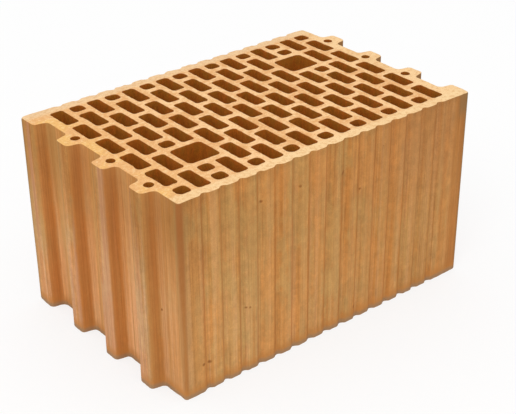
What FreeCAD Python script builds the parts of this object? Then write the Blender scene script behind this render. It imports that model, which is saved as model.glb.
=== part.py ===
import FreeCAD, Part
import math
import os

import Sketcher

# Vertically perforated clay block for a 250 mm wall, fired in one piece.
# +X runs along the ribbed long face, +Y through the wall, +Z up, in millimetres.
# The origin is the middle of the underside. The clay is pushed through one die and
# wire-cut to height, so the whole section runs straight through from bed to bed,
# and it is the same after half a turn about the upright axis.

COLUMNS = 16
ROWS = 5
TONGUES = 3
GRIP_COLUMN = 2
GRIP_ROW = 1
SAME_PLACE = 0.01

SIZES = [
    ("module_length", 380.0),
    ("block_width", 250.0),
    ("block_height", 219.0),
    ("corner_radius", 3.5),
    ("tongue_depth", 15.0),
    ("tongue_spacing", 62.5),
    ("tongue_tip_width", 20.0),
    ("tongue_root_width", 26.0),
    ("tongue_tip_radius", 5.0),
    ("tongue_root_radius", 5.0),
    ("tongue_core_bore", 9.5),
    ("tongue_core_inset", 17.0),
    ("end_wall", 11.6),
    ("side_wall", 13.0),
    ("column_web", 7.0),
    ("row_web", 7.5),
    ("cell_corner_cut", 2.5),
    ("grip_radius", 4.5),
    ("core_overrun", 5.0),
    ("key_mouth_width", 10.5),
    ("key_depth", 2.8),
    ("key_floor_radius", 3.5),
    ("key_lip_radius", 4.0),
]

doc = FreeCAD.newDocument("hollow_clay_block")
sheet = doc.addObject("Spreadsheet::Sheet", "sizes")
for row, (alias, number) in enumerate(SIZES, 1):
    sheet.set(f"A{row}", alias)
    sheet.set(f"B{row}", str(number))
    sheet.setAlias(f"B{row}", alias)
doc.recompute()

# Places worked out from the sizes, as expressions.
# A block's tongues reach into its neighbour's grooves, so one laid block follows
# the last at its overall length less one tongue.
HALF_WIDTH = "(sizes.block_width / 2)"
GROOVE_LINE = "((sizes.module_length - sizes.tongue_depth) / 2)"
TONGUE_TIP = "((sizes.module_length + sizes.tongue_depth) / 2)"
FIRST_TONGUE = "(0.75 * sizes.tongue_spacing)"
CELL_WIDTH = (
    f"((2 * {GROOVE_LINE} - 2 * sizes.end_wall - {COLUMNS - 1} * sizes.column_web) / {COLUMNS})"
)
COLUMN_PITCH = f"({CELL_WIDTH} + sizes.column_web)"
# Neighbouring columns are laid in bond: each has five full cells and one short one,
# and the short one with its web is half as long as a full cell with its web.
CELL_LENGTH = (
    f"((4 * {HALF_WIDTH} - 4 * sizes.side_wall - {2 * ROWS - 1} * sizes.row_web) / {2 * ROWS + 1})"
)
SHORT_LENGTH = f"(({CELL_LENGTH} - sizes.row_web) / 2)"
ROW_PITCH = f"({CELL_LENGTH} + sizes.row_web)"
GRIP_WIDTH = f"(2 * {CELL_WIDTH} + sizes.column_web)"


def column_place(column):
    """Middle of a column of cells along X, counted from the left end."""
    return f"(sizes.end_wall + {CELL_WIDTH} / 2 + {column} * {COLUMN_PITCH} - {GROOVE_LINE})"


def row_place(row):
    """Middle of a full cell of the even columns along Y, counted from the back face."""
    return f"({HALF_WIDTH} - sizes.side_wall - {CELL_LENGTH} / 2 - {row} * {ROW_PITCH})"


def size_of(expression):
    """Number that an expression comes to."""
    return float(sheet.evalExpression(expression))


block = doc.addObject("PartDesign::Body", "clay_column")
ORIGIN = {feature.Role: feature for feature in block.Origin.OriginFeatures}


def add_sketch(name, body=None, across="0", along="0"):
    """Sketch on the underside, in a body or alone, shifted to its place."""
    if body is None:
        return doc.addObject("Sketcher::SketchObject", name)
    sketch = body.newObject("Sketcher::SketchObject", name)
    sketch.AttachmentSupport = [(ORIGIN["XY_Plane"], "")]
    sketch.MapMode = "FlatFace"
    sketch.setExpression(".AttachmentOffset.Base.x", across)
    sketch.setExpression(".AttachmentOffset.Base.y", along)
    return sketch


def constrain(sketch, expression, kind, *where):
    """Add a dimension that follows an expression."""
    number = sketch.addConstraint(Sketcher.Constraint(kind, *where, size_of(expression)))
    sketch.setExpression(f"Constraints[{number}]", expression)


def draw_outline(sketch, corners):
    """Closed straight-sided outline through corners given as pairs of expressions."""
    points = [FreeCAD.Vector(size_of(across), size_of(along), 0) for across, along in corners]
    following = points[1:] + points[:1]
    for start, end in zip(points, following):
        sketch.addGeometry(Part.LineSegment(start, end), False)
    for line in range(len(corners)):
        sketch.addConstraint(Sketcher.Constraint("Coincident", line, 2, (line + 1) % len(corners), 1))
    for line, (across, along) in enumerate(corners):
        constrain(sketch, across, "DistanceX", -1, 1, line, 1)
        constrain(sketch, along, "DistanceY", -1, 1, line, 1)


def draw_rounded_slot(sketch, width, length, radius):
    """Rounded rectangle about the sketch's own origin."""
    half_width = size_of(width) / 2
    half_length = size_of(length) / 2
    bend = size_of(radius)
    inner_x = half_width - bend
    inner_y = half_length - bend
    up = FreeCAD.Vector(0, 0, 1)
    turns = [(1, 1), (-1, 1), (-1, -1), (1, -1)]
    for quarter, (side_x, side_y) in enumerate(turns):
        centre = FreeCAD.Vector(side_x * inner_x, side_y * inner_y, 0)
        circle = Part.Circle(centre, up, bend)
        start = quarter * math.pi / 2
        sketch.addGeometry(Part.ArcOfCircle(circle, start, start + math.pi / 2), False)
    for start, end in (
        ((inner_x, half_length), (-inner_x, half_length)),
        ((-half_width, inner_y), (-half_width, -inner_y)),
        ((-inner_x, -half_length), (inner_x, -half_length)),
        ((half_width, -inner_y), (half_width, inner_y)),
    ):
        line = Part.LineSegment(FreeCAD.Vector(*start, 0), FreeCAD.Vector(*end, 0))
        sketch.addGeometry(line, False)
    for quarter in range(4):
        sketch.addConstraint(Sketcher.Constraint("Tangent", quarter, 2, quarter + 4, 1))
        sketch.addConstraint(Sketcher.Constraint("Tangent", quarter + 4, 2, (quarter + 1) % 4, 1))
    sketch.addConstraint(Sketcher.Constraint("Horizontal", 4))
    sketch.addConstraint(Sketcher.Constraint("Horizontal", 6))
    sketch.addConstraint(Sketcher.Constraint("Vertical", 5))
    sketch.addConstraint(Sketcher.Constraint("Vertical", 7))
    for quarter in range(1, 4):
        sketch.addConstraint(Sketcher.Constraint("Equal", 0, quarter))
    sketch.addConstraint(Sketcher.Constraint("Symmetric", 0, 3, 2, 3, -1, 1))
    constrain(sketch, radius, "Radius", 0)
    constrain(sketch, width, "DistanceX", 5, 1, 7, 1)
    constrain(sketch, length, "DistanceY", 6, 1, 4, 1)


def draw_key(sketch):
    """Soft V cut into the face at the sketch's origin, with a round floor."""
    half_mouth = size_of("sizes.key_mouth_width") / 2
    bend = size_of("sizes.key_floor_radius")
    middle = size_of("sizes.key_depth - sizes.key_floor_radius")
    reach = math.hypot(half_mouth, middle)
    swing = math.acos(bend / reach) + math.atan2(-middle, half_mouth)
    touch_x = bend * math.cos(swing)
    touch_y = middle + bend * math.sin(swing)
    centre = FreeCAD.Vector(0, middle, 0)
    mouth = [FreeCAD.Vector(side * half_mouth, 0, 0) for side in (-1, 1)]
    touch = [FreeCAD.Vector(side * touch_x, touch_y, 0) for side in (-1, 1)]
    circle = Part.Circle(centre, FreeCAD.Vector(0, 0, 1), bend)
    sketch.addGeometry(Part.LineSegment(mouth[0], mouth[1]), False)
    sketch.addGeometry(Part.LineSegment(mouth[1], touch[1]), False)
    sketch.addGeometry(Part.ArcOfCircle(circle, swing, math.pi - swing), False)
    sketch.addGeometry(Part.LineSegment(touch[0], mouth[0]), False)
    sketch.addConstraint(Sketcher.Constraint("Coincident", 0, 2, 1, 1))
    sketch.addConstraint(Sketcher.Constraint("Coincident", 3, 2, 0, 1))
    sketch.addConstraint(Sketcher.Constraint("Tangent", 1, 2, 2, 1))
    sketch.addConstraint(Sketcher.Constraint("Tangent", 2, 2, 3, 1))
    sketch.addConstraint(Sketcher.Constraint("Symmetric", 0, 1, 0, 2, -1, 1))
    sketch.addConstraint(Sketcher.Constraint("Horizontal", 0))
    constrain(sketch, "sizes.key_mouth_width", "DistanceX", 0, 1, 0, 2)
    constrain(sketch, "sizes.key_floor_radius", "Radius", 2)
    sketch.addConstraint(Sketcher.Constraint("PointOnObject", 2, 3, -2))
    constrain(sketch, "sizes.key_depth - sizes.key_floor_radius", "DistanceY", -1, 1, 2, 3)


def pad(sketch, name):
    """Raise a sketch to the full height of the block."""
    feature = block.newObject("PartDesign::Pad", name)
    feature.Profile = sketch
    feature.setExpression("Length", "sizes.block_height")
    doc.recompute()
    return feature


def pocket(sketch, name):
    """Cut a sketch upwards through the whole block, and see that clay went."""
    before = block.Shape.Volume
    feature = block.newObject("PartDesign::Pocket", name)
    feature.Profile = sketch
    feature.Type = "ThroughAll"
    feature.Reversed = True
    doc.recompute()
    if feature.Shape.Volume >= before:
        raise RuntimeError(f"{name} cuts nothing")
    return feature


def repeat(feature, name, axis=None, spacing=None, count=1, backwards=False):
    """Repeat a feature along an axis, and then once more half a turn about Z."""
    steps = []
    pattern = block.newObject("PartDesign::MultiTransform", name)
    pattern.Originals = [feature]
    if count > 1:
        line = doc.addObject("PartDesign::LinearPattern", name + "_line")
        block.addObject(line)
        line.Direction = (ORIGIN[axis], [""])
        line.Reversed = backwards
        line.Mode = "Spacing"
        line.setExpression("Offset", spacing)
        line.Occurrences = count
        steps.append(line)
    turn = doc.addObject("PartDesign::PolarPattern", name + "_turn")
    block.addObject(turn)
    turn.Axis = (ORIGIN["Z_Axis"], [""])
    turn.Angle = 360
    turn.Occurrences = 2
    steps.append(turn)
    pattern.Transformations = steps
    block.Tip = pattern
    doc.recompute()
    return pattern


def upright_edges(shape, wanted):
    """Names of the upright edges that stand where wanted(x, y) is true."""
    names = []
    for number, edge in enumerate(shape.Edges, 1):
        ends = [vertex.Point for vertex in edge.Vertexes]
        if len(ends) == 2 and abs(ends[0].z - ends[1].z) > 1 and wanted(ends[0].x, ends[0].y):
            names.append(f"Edge{number}")
    return names


def round_edges(name, radius, wanted):
    """Round the upright edges that stand where wanted(x, y) is true."""
    base = block.Tip
    feature = block.newObject("PartDesign::Fillet", name)
    feature.Base = (base, upright_edges(base.Shape, wanted))
    feature.setExpression("Radius", radius)
    doc.recompute()
    return feature


def near(value, place):
    """True where a coordinate lies at a place or at its mirror image."""
    return abs(abs(value) - size_of(place)) < SAME_PLACE


def make_slab():
    """Plain slab between the groove lines of the two ends."""
    sketch = add_sketch("slab_outline", block)
    corners = []
    for side_x, side_y in (("-", "-"), ("", "-"), ("", ""), ("-", "")):
        corners.append((side_x + GROOVE_LINE, side_y + HALF_WIDTH))
    draw_outline(sketch, corners)
    pad(sketch, "slab")


def make_tongues():
    """Three tongues at each end, and a broader one that runs out to the corner."""
    half_tip = "sizes.tongue_tip_width / 2"
    half_root = "sizes.tongue_root_width / 2"
    sketch = add_sketch("tongue_outline", block, along=FIRST_TONGUE)
    draw_outline(sketch, [
        ("-" + GROOVE_LINE, "-" + half_root),
        ("-" + GROOVE_LINE, half_root),
        ("-" + TONGUE_TIP, half_tip),
        ("-" + TONGUE_TIP, "-" + half_tip),
    ])
    repeat(pad(sketch, "tongue"), "tongues", "Y_Axis", "sizes.tongue_spacing", TONGUES, backwards=True)
    corner_tongue = f"{FIRST_TONGUE} + sizes.tongue_spacing"
    sketch = add_sketch("corner_tongue_outline", block)
    draw_outline(sketch, [
        ("-" + GROOVE_LINE, f"{corner_tongue} - {half_root}"),
        ("-" + GROOVE_LINE, HALF_WIDTH),
        ("-" + TONGUE_TIP, HALF_WIDTH),
        ("-" + TONGUE_TIP, f"{corner_tongue} - {half_tip}"),
    ])
    repeat(pad(sketch, "corner_tongue"), "corner_tongues")


def round_outline():
    """Soft edges of the tongues, of the grooves between them and of the corners."""
    round_edges(
        "groove_roots", "sizes.tongue_root_radius",
        lambda x, y: near(x, GROOVE_LINE) and not near(y, HALF_WIDTH),
    )
    round_edges(
        "tongue_tips", "sizes.tongue_tip_radius",
        lambda x, y: near(x, TONGUE_TIP) and not near(y, HALF_WIDTH),
    )
    round_edges(
        "block_corners", "sizes.corner_radius",
        lambda x, y: near(y, HALF_WIDTH) and (near(x, GROOVE_LINE) or near(x, TONGUE_TIP)),
    )


def make_plaster_keys():
    """Shallow upright grooves in both long faces, one behind every web."""
    first_web = f"{column_place(0)} + {COLUMN_PITCH} / 2"
    sketch = add_sketch("plaster_key_outline", block, across=first_web, along="-" + HALF_WIDTH)
    draw_key(sketch)
    repeat(pocket(sketch, "plaster_key"), "plaster_keys", "X_Axis", COLUMN_PITCH, COLUMNS - 1)
    outer_cells = abs(size_of(column_place(0)))
    round_edges(
        "key_lips", "sizes.key_lip_radius",
        lambda x, y: near(y, HALF_WIDTH) and abs(x) < outer_cells,
    )


def die_core(name, sketch):
    """Upright core of the die, a little longer than the block at both ends."""
    core = doc.addObject("Part::Extrusion", name)
    core.Base = sketch
    core.DirMode = "Custom"
    core.Dir = FreeCAD.Vector(0, 0, 1)
    core.Solid = True
    core.setExpression("LengthFwd", "sizes.block_height + sizes.core_overrun")
    core.setExpression("LengthRev", "sizes.core_overrun")
    return core


def cell_core(name, length):
    """Core of the die that leaves one cell, with its four corners cut off."""
    half_width = f"{CELL_WIDTH} / 2"
    half_length = f"{length} / 2"
    short_width = f"({half_width} - sizes.cell_corner_cut)"
    short_length = f"({half_length} - sizes.cell_corner_cut)"
    sketch = add_sketch(name + "_outline")
    draw_outline(sketch, [
        (short_width, half_length),
        ("-" + short_width, half_length),
        ("-" + half_width, short_length),
        ("-" + half_width, "-" + short_length),
        ("-" + short_width, "-" + half_length),
        (short_width, "-" + half_length),
        (half_width, "-" + short_length),
        (half_width, short_length),
    ])
    return die_core(name, sketch)


def grip_core():
    """Core of the die that leaves a grip hole, as wide as two cells and their web."""
    sketch = add_sketch("grip_hole_outline")
    draw_rounded_slot(sketch, GRIP_WIDTH, CELL_LENGTH, "sizes.grip_radius")
    return die_core("grip_hole", sketch)


def place_pair(core, across, along):
    """Set a core in its place, and its twin half a turn round the block."""
    for side in ("", "-"):
        twin = doc.addObject("App::Link", core.Name + "_set")
        twin.LinkedObject = core
        twin.setExpression(".Placement.Base.x", f"{side}({across})")
        twin.setExpression(".Placement.Base.y", f"{side}({along})")
        CORES.append(twin)


def make_tongue_cores():
    """Small round core hole through each full tongue."""
    sketch = add_sketch("tongue_core_outline")
    circle = Part.Circle(
        FreeCAD.Vector(0, 0, 0), FreeCAD.Vector(0, 0, 1), size_of("sizes.tongue_core_bore") / 2
    )
    sketch.addGeometry(circle, False)
    sketch.addConstraint(Sketcher.Constraint("Coincident", 0, 3, -1, 1))
    constrain(sketch, "sizes.tongue_core_bore", "Diameter", 0)
    core = die_core("tongue_core", sketch)
    for tongue in range(TONGUES):
        along = f"{FIRST_TONGUE} - {tongue} * sizes.tongue_spacing"
        place_pair(core, f"sizes.tongue_core_inset - {TONGUE_TIP}", along)


def make_perforation():
    """Full and short cells in bond, and two grip holes that take the place of some."""
    grip_partner = COLUMNS - 2 - GRIP_COLUMN
    place_pair(grip_core(), f"{column_place(grip_partner)} + {COLUMN_PITCH} / 2", row_place(GRIP_ROW))
    full = cell_core("full_cell", CELL_LENGTH)
    short = cell_core("short_cell", SHORT_LENGTH)
    beside_grip = (ROWS - 1 - GRIP_ROW, ROWS - GRIP_ROW)
    taken = {(grip_partner, GRIP_ROW)}
    taken.update((GRIP_COLUMN, row) for row in beside_grip)
    for column in range(0, COLUMNS, 2):
        for row in range(ROWS):
            if (column, row) not in taken:
                place_pair(full, column_place(column), row_place(row))
        short_place = f"sizes.side_wall + {SHORT_LENGTH} / 2 - {HALF_WIDTH}"
        place_pair(short, column_place(column), short_place)
    for side in ("+", "-"):
        beside = f"{side}0.75 * {ROW_PITCH} - {row_place(GRIP_ROW)}"
        place_pair(short, column_place(GRIP_COLUMN), beside)


make_slab()
make_tongues()
round_outline()
make_plaster_keys()

CORES = []
make_tongue_cores()
make_perforation()
die_cores = doc.addObject("Part::Compound", "die_cores")
die_cores.Links = CORES
perforated = doc.addObject("Part::Cut", "perforated_block")
perforated.Base = block
perforated.Tool = die_cores
perforated.Refine = False
perforated.Label = "hollow_clay_block"

doc.recompute()
for item in doc.Objects:
    if "Invalid" in item.State or "Error" in item.State:
        raise RuntimeError(f"{item.Name} failed: {item.State}")
shape = perforated.Shape
if shape.isNull() or not shape.isValid() or len(shape.Solids) != 1:
    raise RuntimeError("the block is not one sound solid")

os.makedirs("parts", exist_ok=True)
shape.Solids[0].exportStep(f"parts/{perforated.Label}.step")
print("box", shape.BoundBox)
print("volume", round(shape.Volume), "before the cores", round(block.Shape.Volume))
print("cells, grips and cores", len(CORES), "faces", len(shape.Faces))
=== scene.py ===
import math
import random

import bpy
from mathutils import Matrix, Vector, noise
from mathutils.geometry import delaunay_2d_cdt


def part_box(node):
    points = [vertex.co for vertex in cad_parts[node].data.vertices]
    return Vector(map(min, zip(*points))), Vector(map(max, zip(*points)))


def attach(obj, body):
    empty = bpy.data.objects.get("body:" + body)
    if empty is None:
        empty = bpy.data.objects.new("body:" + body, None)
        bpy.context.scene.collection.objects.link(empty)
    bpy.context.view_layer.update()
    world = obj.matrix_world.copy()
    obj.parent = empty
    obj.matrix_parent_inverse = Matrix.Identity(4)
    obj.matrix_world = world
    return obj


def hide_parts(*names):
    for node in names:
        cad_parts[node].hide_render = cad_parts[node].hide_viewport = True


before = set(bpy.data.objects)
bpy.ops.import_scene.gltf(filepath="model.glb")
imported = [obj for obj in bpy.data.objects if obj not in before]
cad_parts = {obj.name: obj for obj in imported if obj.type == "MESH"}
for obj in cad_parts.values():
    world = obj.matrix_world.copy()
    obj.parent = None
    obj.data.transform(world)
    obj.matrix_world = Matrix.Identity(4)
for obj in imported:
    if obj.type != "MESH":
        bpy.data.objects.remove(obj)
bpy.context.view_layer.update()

MM = 0.001
BLOCK = "hollow_clay_block"
TONGUE_DEPTH = 15 * MM
block_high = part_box(BLOCK)[1]
HALF_LENGTH = block_high.x
HALF_WIDTH = block_high.y
HEIGHT = block_high.z
GROOVE_LINE = HALF_LENGTH - TONGUE_DEPTH
chance = random.Random(11)

# Wear and unevenness of the fired clay, in metres.
ARRIS = 0.9 * MM
ARRIS_TURNS = 3
CORNER_REACH = 11 * MM
BOW_LEVELS = 5
WALL_STEP = 1.7 * MM
CLOSEST_POINTS = 0.8 * MM
FULL_CELL = 20 * MM
CELL_POINTS = 8
CELL_CORNER_RADIUS = 3.1 * MM
SHORT_CELL_CORNER_RADIUS = 4.2 * MM
CORNER_STEPS = 4
CORE_SHIFT = 0.3 * MM
SHARP_EDGE = math.radians(38)
BED_TOLERANCE = 0.001 * MM

# Pits burnt out of the front face, in mm: how far along, how high, radius.
FRONT_PITS = (
    (19, 182, 2.4),
    (44, 155, 1.7),
    (-38, 187, 1.6),
    (-85.5, 186.5, 1.5),
    (-105.5, 76, 1.2),
    (-101.5, 75, 1.3),
    (-151, 32, 1.9),
    (-159.5, 33.5, 1.7),
    (40, 15, 1.8),
)
SMALL_PIT_RADIUS = 0.9
SMALL_PITS_TO_THE_METRE = 55
SMALL_PIT_RARITY = 0.78
NEAR_CORNER = (-181, -125)

# Colours of the extruded faces, as linear light.
KHAKI_TAN = (0.455, 0.225, 0.067)
ORANGE_TAN = (0.475, 0.202, 0.050)
DEEP_ORANGE = (0.43, 0.170, 0.040)
# Painted shade on the key walls that face away from the lamp.
PAINTED_KEY_SHADE = (0.43, 0.150, 0.028)
PINK_TAN = (0.53, 0.255, 0.092)
PALE_STREAK = (0.56, 0.292, 0.105)
BROWN_STREAK = (0.33, 0.130, 0.032)
WEATHERED_KHAKI = (0.43, 0.243, 0.076)
EMBER_ORANGE = (0.56, 0.228, 0.058)
REDDER_TAN = (0.47, 0.190, 0.062)
# Painted light: a brighter orange that lifts the grooves of the ends.
PAINTED_GROOVE_LIGHT = (0.72, 0.320, 0.085)
# Tongue flank colours: partly the clay's own, partly painted bounce light from the grooves.
FLANK_TAN_AND_BOUNCE = (0.56, 0.225, 0.060)
FLANK_RED_AND_BOUNCE = (0.50, 0.170, 0.040)
LILAC_PINK = (0.57, 0.285, 0.165)
MOSS_KHAKI = (0.47, 0.260, 0.085)
CORNER_RED = (0.32, 0.115, 0.030)
FOOT_ORANGE = (0.50, 0.205, 0.048)
# Painted contact shadow along the foot.
PAINTED_CONTACT_SHADOW = (0.33, 0.215, 0.125)
# Painted shade for edges that face away from the lamp.
PAINTED_EDGE_SHADE = (0.22, 0.135, 0.055)
# Painted shade inside the pits.
PIT_SHADE_BROWN = (0.22, 0.075, 0.016)

# Tints that a colour is multiplied by.
# Painted floor light: a tint that makes the lower long faces paler.
PAINTED_FLOOR_LIGHT = (1.30, 1.51, 1.87)
PINKER_LOW_TINT = (1.39, 1.61, 2.63)

# Colours inside the cells, darkened partly as painted shade, and of the beds that the wire cut.
INNER_BROWN = (0.335, 0.100, 0.008)
INNER_RED = (0.385, 0.106, 0.010)
INNER_OLIVE = (0.335, 0.113, 0.010)
INNER_DEEP = (0.52, 0.160, 0.014)
CUT_PEACH = (0.80, 0.425, 0.175)
CUT_PALE = (0.93, 0.575, 0.285)
CUT_ROSE = (0.82, 0.545, 0.315)
CUT_CREAM = (0.93, 0.67, 0.36)
CUT_SAND = (0.70, 0.38, 0.15)
CUT_AMBER = (0.833, 0.443, 0.175)
CUT_YELLOW = (0.90, 0.53, 0.165)

# Spans in mm along x, y or z, over which one finish gives way to the next.
END_FACE = (176, 181)
TONGUE_TIP = (186, 194)
RIGHT_PART = (20, 130)
REDDER_HEIGHT = (60, 190)
LEFT_PART = (-150, 160)
NEAR_END = (-122, -40)
LOW_PART = (30, 210)
PINKER_FROM = (40, 90)
PINKER_UP_TO = (140, 195)
HIGH_PART = (100, 210)
RIM_SHADE_BAND = (209, 217)
BY_CORNER_ALONG = (-178, -140)
BY_CORNER_ACROSS = (-122, -90)
CORNER_LINE = (1.5, 6.5)
RIGHT_EDGE_ALONG = (190, 196)
RIGHT_EDGE_ACROSS = (-123, -119)
LEFT_EDGE_ALONG = (-192, -188)
LEFT_EDGE_ACROSS = (118, 124)
FLANK_SHADE_ALONG = (180, 186)
FLANK_SHADE_UP = (185, 205)
FOOT_ZONE = (6, 17)
CONTACT_SHADOW_ZONE = (2, 8)
FRONT_SKIN = (-115, -105)
MID_HEIGHT = 110
MOUTH_DEPTH = (2, 40)
LONG_RIM = (109, 117)
BACK_RIM = (108, 118)
LEFT_BED = (-180, -60)
YELLOW_BED = (-182, -150)
RIGHT_BED = (150, 180)

# Studio and camera.
WHITE = (1, 1, 1, 1)
PAPER_WHITE = (0.97, 0.97, 0.97, 1)
PAPER_GLOW = 0.75
ROOM_LIGHT = 0.92
FLOOR_REACH = 30
LAMP_PLACE = Vector((-1.5, -1.15, 2.0))
LAMP_AIM = Vector((0, 0, 0.1))
LAMP_POWER = 14
LAMP_SIZE = 1.3
LENS = 85.4
SENSOR_WIDTH = 36
CAMERA_PLACE = Vector((-0.7226, -0.9006, 0.7428))
CAMERA_AIM = Vector((0.0032, -0.0094, 0.1000))
CAMERA_ROLL = math.radians(-0.40)


def bed_loops(block):
    """Closed loops round the upper bed: the outline first, then every hole in it."""
    mesh = block.data
    top = max(vertex.co.z for vertex in mesh.vertices)
    edges = set()
    for face in mesh.polygons:
        corners = [mesh.vertices[index].co for index in face.vertices]
        if all(top - corner.z < BED_TOLERANCE for corner in corners):
            ring = [(round(corner.x, 6), round(corner.y, 6)) for corner in corners]
            edges.update(zip(ring, ring[1:] + ring[:1]))
    following = {start: end for start, end in edges if (end, start) not in edges}
    loops = []
    while following:
        first, point = following.popitem()
        loop = [Vector(first)]
        while point != first:
            loop.append(Vector(point))
            point = following.pop(point)
        loops.append(loop)
    return sorted(loops, key=lambda loop: -max(abs(point.x) for point in loop))


def rounded_cell(loop):
    """The loop of a cell, with its cut corners worn round."""
    left, right = min(p.x for p in loop), max(p.x for p in loop)
    front, back = min(p.y for p in loop), max(p.y for p in loop)
    radius = CELL_CORNER_RADIUS if back - front > FULL_CELL else SHORT_CELL_CORNER_RADIUS
    points = []
    for quarter, (x, y) in enumerate((
        (right - radius, front + radius),
        (left + radius, front + radius),
        (left + radius, back - radius),
        (right - radius, back - radius),
    )):
        for step in range(CORNER_STEPS + 1):
            angle = -(quarter + step / CORNER_STEPS) * math.pi / 2
            points.append(Vector((x + radius * math.cos(angle), y + radius * math.sin(angle))))
    return points


def even_points(loop):
    """A loop with long runs divided and crowded points thinned out."""
    points = []
    for start, end in zip(loop, loop[1:] + loop[:1]):
        run = (end - start).length
        if run < CLOSEST_POINTS and points and (start - points[-1]).length < CLOSEST_POINTS:
            continue
        parts = max(1, round(run / WALL_STEP))
        points.extend(start.lerp(end, part / parts) for part in range(parts))
    return points


def into_air(points):
    """Direction out of the clay at every point of a loop that has the clay on its left."""
    directions = []
    for index, point in enumerate(points):
        before = (point - points[index - 1]).normalized()
        after = (points[(index + 1) % len(points)] - point).normalized()
        along = (before + after).normalized()
        directions.append(Vector((along.y, -along.x)))
    return directions


def arris_width(x, y, bed):
    """How far the edge of a bed is worn, more in some places than in others."""
    slow = noise.noise(Vector((x * 60, y * 60, bed * 3.7)))
    fast = noise.noise(Vector((x * 310, y * 310, bed * 9.1 + 4)))
    chip = max(0.0, noise.noise(Vector((x * 85, y * 85, bed * 6.1 + 9))) - 0.32)
    end = GROOVE_LINE if x * y > 0 else HALF_LENGTH
    to_corner = math.hypot(end - abs(x), HALF_WIDTH - abs(y))
    corner = max(0.0, 1 - to_corner / CORNER_REACH)
    return ARRIS * max(0.35, 1 + 0.7 * slow + 0.6 * fast + 4.5 * chip + 1.8 * corner)


def wall_profile():
    """Rings of a wall from foot to top: share of the height, and turn where an arris is."""
    lower = [(0, turn / ARRIS_TURNS) for turn in range(ARRIS_TURNS, -1, -1)]
    middle = [(level / BOW_LEVELS, None) for level in range(1, BOW_LEVELS)]
    upper = [(1, turn / ARRIS_TURNS) for turn in range(ARRIS_TURNS + 1)]
    return lower + middle + upper


def wall_point(point, direction, number, level, turn):
    """A point of the outline, or of a numbered hole, on one ring of its worn, uneven wall."""
    inset, z = 0.0, level * HEIGHT
    if turn is not None:
        width = arris_width(point.x, point.y, level)
        angle = turn * math.pi / 2
        inset = width * (1 - math.cos(angle))
        rise = width * (1 - math.sin(angle))
        z = rise if level == 0 else HEIGHT - rise
    wave = noise.noise(Vector((point.x * 35 + number, point.y * 35, z * 9)))
    burr = noise.noise(Vector((point.x * 230, point.y * 230, level * 5.3)))
    if number > 0:
        wave = (0.25 * wave + 0.35 * burr) * MM
    else:
        wave = (0.12 * (wave - 0.9) - 0.2 * abs(burr)) * MM
    return point + direction * (wave - inset), z


def bed_faces(rings, vertices, is_upper):
    """Faces of a bed, between its outline and the mouths of the holes."""
    numbers = [index for ring in rings for index in ring]
    flat = [Vector(vertices[index][:2]) for index in numbers]
    outlines = []
    start = 0
    for ring in rings:
        outlines.append(list(range(start, start + len(ring))))
        start += len(ring)
    result = delaunay_2d_cdt(flat, [], outlines, 2, 1e-7)
    faces = []
    for face in result[2]:
        corners = [numbers[result[3][index][0]] for index in face]
        faces.append(corners if is_upper else corners[::-1])
    return faces


def clay_column(loops):
    """Mesh of the block: every wall with worn arrises, and the two wire-cut beds."""
    vertices, faces, hole_side = [], [], []
    lower_bed, upper_bed = [], []
    for number, loop in enumerate(loops):
        directions = into_air(loop)
        shift = Vector((0, 0))
        if number > 0:
            shift = Vector((chance.uniform(-1, 1), chance.uniform(-1, 1))) * CORE_SHIFT
        rings = []
        for level, turn in wall_profile():
            rings.append(range(len(vertices), len(vertices) + len(loop)))
            for point, direction in zip(loop, directions):
                place, z = wall_point(point, direction, number, level, turn)
                vertices.append((place.x + shift.x, place.y + shift.y, z))
                hole_side.append(float(number > 0))
        for lower, upper in zip(rings, rings[1:]):
            for index in range(len(loop)):
                onward = (index + 1) % len(loop)
                faces.append((lower[index], lower[onward], upper[onward], upper[index]))
        lower_bed.append(rings[0])
        upper_bed.append(rings[-1])
    faces += bed_faces(lower_bed, vertices, False)
    faces += bed_faces(upper_bed, vertices, True)
    mesh = bpy.data.meshes.new("clay_block")
    mesh.from_pydata(vertices, [], faces)
    mesh.attributes.new("hole_side", "FLOAT", "POINT").data.foreach_set("value", hole_side)
    mesh.validate()
    mesh.shade_smooth()
    mesh.set_sharp_from_angle(angle=SHARP_EDGE)
    return mesh


def add_node(tree, kind, settings, inputs):
    """A node of a kind: its settings first, then values or links for its inputs."""
    node = tree.nodes.new(kind)
    for name, value in settings.items():
        setattr(node, name, value)
    for name, value in inputs.items():
        if isinstance(value, Worked):
            tree.links.new(value.socket, node.inputs[name])
        else:
            node.inputs[name].default_value = value
    return node


class Worked:
    """An output of a material's nodes. Arithmetic on it adds the nodes that work it out."""

    def __init__(self, tree, socket):
        self.tree = tree
        self.socket = socket

    def reckon(self, operation, *values):
        node = add_node(self.tree, "ShaderNodeMath", {"operation": operation}, dict(enumerate(values)))
        return Worked(self.tree, node.outputs[0])

    def __add__(self, other):
        return self.reckon("ADD", self, other)

    def __radd__(self, other):
        return self.reckon("ADD", other, self)

    def __sub__(self, other):
        return self.reckon("SUBTRACT", self, other)

    def __rsub__(self, other):
        return self.reckon("SUBTRACT", other, self)

    def __mul__(self, other):
        return self.reckon("MULTIPLY", self, other)

    def __rmul__(self, other):
        return self.reckon("MULTIPLY", other, self)

    def __truediv__(self, other):
        return self.reckon("DIVIDE", self, other)

    def __pow__(self, other):
        return self.reckon("POWER", self, other)

    def __abs__(self):
        return self.reckon("ABSOLUTE", self)

    def between(self, start, end):
        """0 up to start, 1 from end on, and a soft step between them."""
        node = add_node(
            self.tree, "ShaderNodeMapRange", {"interpolation_type": "SMOOTHSTEP"},
            {"Value": self, "From Min": start, "From Max": end},
        )
        return Worked(self.tree, node.outputs["Result"])


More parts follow.
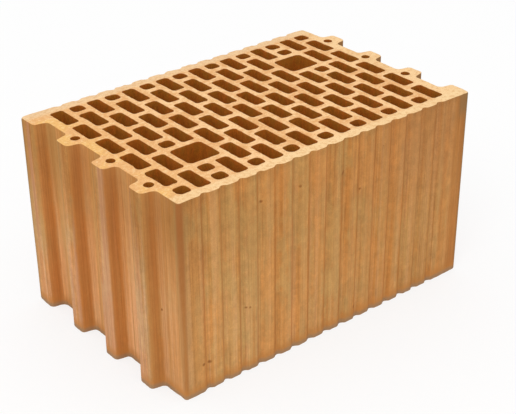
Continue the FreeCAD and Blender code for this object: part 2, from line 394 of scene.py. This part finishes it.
class Finish:
    """The nodes of a material, or of the world."""

    def __init__(self, owner):
        owner.use_nodes = True
        self.tree = owner.node_tree
        self.tree.nodes.clear()

    def node(self, kind, inputs=None, settings=None, output=0):
        node = add_node(self.tree, kind, settings or {}, inputs or {})
        return Worked(self.tree, node.outputs[output])

    def mix(self, amount, first, second, blend="MIX"):
        """So much of the second colour over the first."""
        colours = [value if isinstance(value, Worked) else (*value, 1) for value in (first, second)]
        return self.node(
            "ShaderNodeMix", {"Factor": amount, 6: colours[0], 7: colours[1]},
            {"data_type": "RGBA", "blend_type": blend}, output=2,
        )

    def shade(self, colour, factor):
        """A colour made darker or lighter."""
        return self.node("ShaderNodeVectorMath", {0: colour, "Scale": factor}, {"operation": "SCALE"})

    def stretched(self, across, upright):
        """Place on the object in metres, times one scale across and another upwards."""
        place = self.node("ShaderNodeTexCoord", output="Object")
        scale = (across, across, upright)
        return self.node("ShaderNodeVectorMath", {0: place, 1: scale}, {"operation": "MULTIPLY"})

    def split(self, vector):
        """The x, y and z of a vector."""
        node = add_node(self.tree, "ShaderNodeSeparateXYZ", {}, {"Vector": vector})
        return [Worked(self.tree, output) for output in node.outputs]

    def grain(self, across, upright, detail, roughness=0.5):
        """Soft noise from 0 to 1 about 0.5, with so many spots to the metre each way."""
        return self.node("ShaderNodeTexNoise", {
            "Vector": self.stretched(across, upright), "Scale": 1.0, "Detail": detail, "Roughness": roughness,
        })

    def show(self, surface, kind="ShaderNodeOutputMaterial"):
        add_node(self.tree, kind, {}, {"Surface": surface})


class FiredClay(Finish):
    """Extruded faces with upright streaks, paler towards the foot, and wire-cut beds."""

    def __init__(self, material):
        super().__init__(material)
        self.facing = self.split(self.node("ShaderNodeNewGeometry", output="Normal"))
        place = self.split(self.node("ShaderNodeTexCoord", output="Object"))
        self.x, self.y, self.z = [value / MM for value in place]
        self.bed = abs(self.facing[2]).between(0.45, 0.85)
        self.hole = self.node("ShaderNodeAttribute", settings={"attribute_name": "hole_side"}, output="Fac")

        self.patches = self.grain(30, 14, detail=2)
        self.weather = self.grain(38, 15, detail=4, roughness=0.6)
        self.mottle = self.grain(95, 75, detail=3, roughness=0.6)
        self.blotch = self.grain(260, 200, detail=3, roughness=0.6)
        self.dust = self.grain(900, 900, detail=3, roughness=0.6)
        self.tone = self.grain(70, 3, detail=2)
        self.bands = self.grain(110, 1.5, detail=1)
        self.blush = self.grain(190, 2.5, detail=2)
        self.drag = self.grain(340, 4, detail=3, roughness=0.6)
        self.streaks = self.grain(720, 12, detail=3, roughness=0.6)

        self.end = abs(self.x).between(*END_FACE)
        self.side = 1 - self.end
        self.low = 1 - self.z.between(*LOW_PART)
        self.right = self.side * self.x.between(*RIGHT_PART)
        self.nearer = 1 - self.y.between(*NEAR_END)
        self.flank = self.end * (abs(self.facing[1]) + 0.4 * (self.mottle - 0.5)).between(0.45, 0.95)
        self.pits = self.small_pits() + self.front_pits()

    def distance(self, first, second):
        """How far two offsets at right angles come to."""
        return (first * first + second * second) ** 0.5

    def small_pits(self):
        """Round pits scattered over the faces, only some of them kept."""
        spots = SMALL_PITS_TO_THE_METRE
        place = self.stretched(spots, spots * 0.7)
        node = add_node(
            self.tree, "ShaderNodeTexVoronoi", {"feature": "F1"}, {"Vector": place, "Scale": 1.0},
        )
        near = Worked(self.tree, node.outputs["Distance"])
        pick = self.split(Worked(self.tree, node.outputs["Color"]))
        size = SMALL_PIT_RADIUS * MM * spots * (0.5 + pick[1])
        kept = pick[0].between(SMALL_PIT_RARITY, SMALL_PIT_RARITY + 0.02)
        return (1 - (near / size).between(0.5, 1.0)) * kept

    def front_pits(self):
        """The pits that show in the front face."""
        pits = 0
        for along, up, radius in FRONT_PITS:
            away = self.distance(self.x - along, self.z - up) + 1.2 * (self.blotch - 0.5)
            pits = pits + (1 - away.between(0.3 * radius, 1.5 * radius))
        return pits * (1 - self.y.between(*FRONT_SKIN))

    def extruded(self):
        """Khaki where the die dragged the clay dry, orange where it stayed moist."""
        dry = 0.55 * self.bands + 0.45 * self.patches
        walls = self.mix(dry.between(0.44, 0.56), ORANGE_TAN, KHAKI_TAN)
        walls = self.mix((1 - self.blush.between(0.36, 0.48)) * 0.6, walls, DEEP_ORANGE)
        walls = self.mix(self.blush.between(0.53, 0.65) * 0.6, walls, PINK_TAN)
        walls = self.mix(self.drag.between(0.53, 0.66) * 0.45, walls, PALE_STREAK)
        walls = self.mix((1 - self.drag.between(0.34, 0.46)) * 0.5, walls, BROWN_STREAK)
        thin = (1 - self.streaks.between(0.32, 0.44)) * (0.35 - 0.15 * self.end)
        return self.mix(thin, walls, BROWN_STREAK)

    def weathered(self, walls):
        """Khaki and ember patches, redder to the right, and the unevenness of the clay."""
        dull = self.weather.between(0.50, 0.62) * (0.55 - 0.35 * self.right)
        walls = self.mix(dull, walls, WEATHERED_KHAKI)
        redder = self.right * (0.2 + 0.5 * self.patches) * self.z.between(*REDDER_HEIGHT)
        walls = self.mix(redder, walls, REDDER_TAN)
        ember = (1 - self.weather.between(0.38, 0.49)) * (0.45 - 0.25 * self.end)
        walls = self.mix(ember, walls, EMBER_ORANGE)
        walls = self.shade(walls, 1 + 0.5 * (self.mottle - 0.5) + 0.35 * (self.blotch - 0.5))
        streaked = (0.4 - 0.15 * self.end) * (self.streaks - 0.5)
        return self.shade(walls, 1 + streaked + 0.5 * (self.dust - 0.5))

    def long_faces(self, walls):
        """Painted floor light makes the long faces paler to the lower left. Each key has a pale land beside
        it, and painted shade on its wall that faces away from the lamp.
        """
        left = 1 - self.x.between(*LEFT_PART)
        # Painted floor light: the long faces are paler low down, the most to the left.
        walls = self.mix(self.side * self.low * (0.15 + 0.45 * left), walls, PAINTED_FLOOR_LIGHT, "MULTIPLY")
        lands = self.side * abs(self.facing[1]).between(0.985, 0.999)
        # Painted shade on the key walls that face away from the lamp.
        painted_key_shade = self.side * (self.facing[0] * self.y / -HALF_WIDTH * MM).between(0.25, 0.6)
        walls = self.mix(lands * 0.16, walls, PALE_STREAK)
        return self.mix(painted_key_shade * 0.5, walls, PAINTED_KEY_SHADE)

    def ends(self, walls):
        """Tongues are pinker and paler lower down. The grooves between them get a brighter orange as painted
        light, and the flanks a more saturated orange that is partly painted bounce light.
        """
        tip = abs(self.x).between(*TONGUE_TIP)
        open_face = self.end * (1 - self.flank)
        # The tongues are made pinker and paler lower down, and a little at mid height near the front.
        pinker_low = (0.05 + 0.9 * self.low) * (0.4 + 0.9 * self.blush) * (1.1 - 0.25 * self.nearer)
        mid_height = self.z.between(*PINKER_FROM) * (1 - self.z.between(*PINKER_UP_TO))
        pinker_low = open_face * (pinker_low + self.nearer * mid_height * 0.2)
        # Painted light: the grooves are lifted to a brighter orange.
        walls = self.mix(open_face * (1 - tip) * 0.4, walls, PAINTED_GROOVE_LIGHT)
        walls = self.mix(pinker_low * (0.75 + 0.25 * tip), walls, PINKER_LOW_TINT, "MULTIPLY")
        # Partly painted bounce light: the flanks take a more saturated orange.
        walls = self.mix(self.flank * 0.5, walls, FLANK_TAN_AND_BOUNCE)
        lilac = open_face * (0.25 + 0.75 * tip) * self.tone.between(0.50, 0.60)
        walls = self.mix(lilac * 0.5, walls, LILAC_PINK)
        walls = self.mix(open_face * (1 - self.tone.between(0.38, 0.48)) * 0.45, walls, MOSS_KHAKI)
        # Partly painted bounce light: a redder band on the flanks.
        walls = self.mix(self.flank * self.tone.between(0.46, 0.56) * 0.35, walls, FLANK_RED_AND_BOUNCE)
        return self.mix(self.end * (1 - self.streaks.between(0.38, 0.56)) * 0.24, walls, BROWN_STREAK)

    def darker_above(self, walls):
        """Darker higher up, the most by the near corner, with painted shade in a band on the long faces just
        under the rim.
        """
        by_corner = (1 - self.x.between(*BY_CORNER_ALONG)) * (1 - self.y.between(*BY_CORNER_ACROSS))
        high = self.z.between(*HIGH_PART) * (0.12 * self.end + 0.12 * by_corner + 0.10 * self.right)
        # Painted shade: the long faces darken in a band just under the rim.
        long_face = self.side * (0.10 * by_corner + 0.07 * self.z.between(*RIM_SHADE_BAND))
        return self.shade(walls, 1 - (high + long_face + 0.10 * self.end * self.nearer))

    def edges(self, walls):
        """A red line down the near corner, and painted shade on the edges at both sides of the view and on
        the upper flanks of the right-hand tongues.
        """
        away = self.distance(self.x - NEAR_CORNER[0], self.y - NEAR_CORNER[1])
        corner = 1 - away.between(*CORNER_LINE)
        walls = self.mix(corner * (0.9 - 0.55 * self.low) * (0.5 + self.mottle), walls, CORNER_RED)
        right = self.x.between(*RIGHT_EDGE_ALONG) * (1 - self.y.between(*RIGHT_EDGE_ACROSS))
        left = self.y.between(*LEFT_EDGE_ACROSS) * (1 - self.x.between(*LEFT_EDGE_ALONG))
        # Painted shade on the edges at both sides of the view.
        walls = self.mix((right + left) * (0.3 + 0.6 * self.mottle), walls, PAINTED_EDGE_SHADE)
        # Painted shade on the upper flanks of the right-hand tongues.
        painted_flank_shade = self.x.between(*FLANK_SHADE_ALONG) * self.flank * self.z.between(*FLANK_SHADE_UP)
        return self.mix(painted_flank_shade * 0.6, walls, PAINTED_EDGE_SHADE)

    def foot(self, walls):
        """Deeper in colour at the foot, with a painted contact shadow along the ground."""
        foot = (1 - self.z.between(*FOOT_ZONE)) * (0.7 * self.mottle + 0.5 * self.dust)
        walls = self.mix(foot, walls, FOOT_ORANGE)
        # Painted contact shadow: a grey-brown line along the ground.
        line = (1 - self.z.between(*CONTACT_SHADOW_ZONE)) * (0.5 + 0.6 * self.dust)
        return self.mix(line, walls, PAINTED_CONTACT_SHADOW)

    def cell_insides_and_shade(self):
        """Browner clay inside the cells, olive in places and deeper away from the beds; these colours are
        darker partly as painted shade in the cells.
        """
        inside = self.mix(self.drag.between(0.42, 0.58), INNER_BROWN, INNER_RED)
        inside = self.mix(self.mottle.between(0.46, 0.58), inside, INNER_OLIVE)
        from_bed = MID_HEIGHT - abs(self.z - MID_HEIGHT)
        inside = self.mix(from_bed.between(*MOUTH_DEPTH), inside, INNER_DEEP)
        return self.shade(inside, 1 + 0.7 * (self.blotch - 0.5) + 0.9 * (self.dust - 0.5))

    def cut_beds(self):
        """Beds cut by the wire: peach, creamier along the long rims, oranger by the left end."""
        rim = abs(self.y).between(*LONG_RIM) * (0.35 + 0.65 * self.mottle)
        amber = (1 - self.x.between(*LEFT_BED)) * (0.45 + 0.8 * self.patches)
        yellow = (1 - self.x.between(*YELLOW_BED)) * self.patches.between(0.42, 0.58) * 0.7
        pale = (0.5 * self.patches + 0.5 * self.mottle).between(0.42, 0.56)
        cut = self.mix(pale, CUT_PEACH, CUT_PALE)
        cut = self.mix(amber * (1 - rim), cut, CUT_AMBER)
        cut = self.mix(yellow * (1 - rim), cut, CUT_YELLOW)
        cut = self.mix(rim, cut, CUT_CREAM)
        cut = self.mix(self.y.between(*BACK_RIM) * 0.7, cut, CUT_ROSE)
        cut = self.mix(self.x.between(*RIGHT_BED) * 0.5, cut, CUT_CREAM)
        cut = self.mix(self.blotch.between(0.50, 0.66) * 0.5, cut, CUT_CREAM)
        cut = self.mix((1 - self.blotch.between(0.34, 0.50)) * 0.5, cut, CUT_SAND)
        return self.shade(cut, 1 + 0.6 * (self.dust - 0.5))

    def relief(self):
        """Streaks, grain and pits in relief, smoother on the ends and in the holes."""
        smooth = 1 - 0.5 * (1 - self.side * (1 - self.hole))
        walls = smooth * (0.4 * self.drag + 0.3 * self.streaks)
        walls = walls + 0.3 * self.blotch + 0.2 * self.dust - 0.6 * self.pits
        height = (1 - self.bed) * walls + self.bed * (0.5 * self.dust + 0.6 * self.blotch)
        return self.node("ShaderNodeBump", {"Strength": 0.6, "Distance": 0.5 * MM, "Height": height})


def fired_clay():
    material = bpy.data.materials.new("fired_clay")
    clay = FiredClay(material)
    walls = clay.weathered(clay.extruded())
    walls = clay.ends(clay.long_faces(walls))
    walls = clay.edges(clay.darker_above(walls))
    # Painted shade: the pits are darkened.
    walls = clay.mix(clay.pits * 0.75, clay.foot(walls), PIT_SHADE_BROWN)
    # Partly painted shade: the cells take darker colours.
    walls = clay.mix(clay.hole, walls, clay.cell_insides_and_shade())
    clay.show(clay.node("ShaderNodeBsdfPrincipled", {
        "Base Color": clay.mix(clay.bed, walls, clay.cut_beds()),
        "Roughness": 0.84 + 0.1 * clay.dust,
        "Normal": clay.relief(),
        "Specular IOR Level": 0.12,
    }))
    return material


def make_block():
    outline, *holes = bed_loops(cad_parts[BLOCK])
    worn = [rounded_cell(hole) if len(hole) == CELL_POINTS else hole for hole in holes]
    column = clay_column([even_points(loop) for loop in (outline, *worn)])
    block = bpy.data.objects.new("fired_clay_block", column)
    bpy.context.scene.collection.objects.link(block)
    column.materials.append(fired_clay())
    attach(block, "root")
    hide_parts(BLOCK)


def white_paper():
    """Matt white that keeps a shadow, brighter to the camera than to the block."""
    material = bpy.data.materials.new("white_paper")
    paper = Finish(material)
    lit = paper.node("ShaderNodeBsdfDiffuse", {"Color": PAPER_WHITE})
    glow = paper.node("ShaderNodeEmission", {"Color": WHITE, "Strength": 1.0})
    seen = paper.node("ShaderNodeLightPath", output="Is Camera Ray")
    paper.show(paper.node("ShaderNodeMixShader", {0: PAPER_GLOW * seen, 1: lit, 2: glow}))
    return material


def make_floor():
    reach = FLOOR_REACH
    corners = [(-reach, -reach, 0), (reach, -reach, 0), (reach, reach, 0), (-reach, reach, 0)]
    mesh = bpy.data.meshes.new("white_floor")
    mesh.from_pydata(corners, [], [(0, 1, 2, 3)])
    mesh.materials.append(white_paper())
    floor = bpy.data.objects.new("white_floor", mesh)
    bpy.context.scene.collection.objects.link(floor)


def light_studio():
    """A white room all round, and one soft lamp from the front left."""
    world = bpy.data.worlds.new("white_room")
    bpy.context.scene.world = world
    room = Finish(world)
    around = room.node("ShaderNodeBackground", {"Color": WHITE, "Strength": ROOM_LIGHT})
    seen = room.node("ShaderNodeBackground", {"Color": WHITE, "Strength": 1.0})
    ray = room.node("ShaderNodeLightPath", output="Is Camera Ray")
    room.show(room.node("ShaderNodeMixShader", {0: ray, 1: around, 2: seen}), "ShaderNodeOutputWorld")

    lamp = bpy.data.lights.new("lamp_above", "AREA")
    lamp.energy = LAMP_POWER
    lamp.shape = "DISK"
    lamp.size = LAMP_SIZE
    stand = bpy.data.objects.new("lamp_above", lamp)
    stand.location = LAMP_PLACE
    stand.rotation_euler = (LAMP_AIM - LAMP_PLACE).to_track_quat("-Z", "Y").to_euler()
    bpy.context.scene.collection.objects.link(stand)


def make_camera():
    data = bpy.data.cameras.new("camera")
    data.lens = LENS
    data.sensor_width = SENSOR_WIDTH
    data.clip_start = 0.01
    data.clip_end = 100
    turn = (CAMERA_AIM - CAMERA_PLACE).to_track_quat("-Z", "Y").to_matrix()
    camera = bpy.data.objects.new("camera", data)
    camera.location = CAMERA_PLACE
    camera.rotation_euler = (turn @ Matrix.Rotation(CAMERA_ROLL, 3, "Z")).to_euler()
    bpy.context.scene.collection.objects.link(camera)
    bpy.context.scene.camera = camera


make_block()
make_floor()
light_studio()
make_camera()
bpy.context.scene.view_settings.view_transform = "Standard"
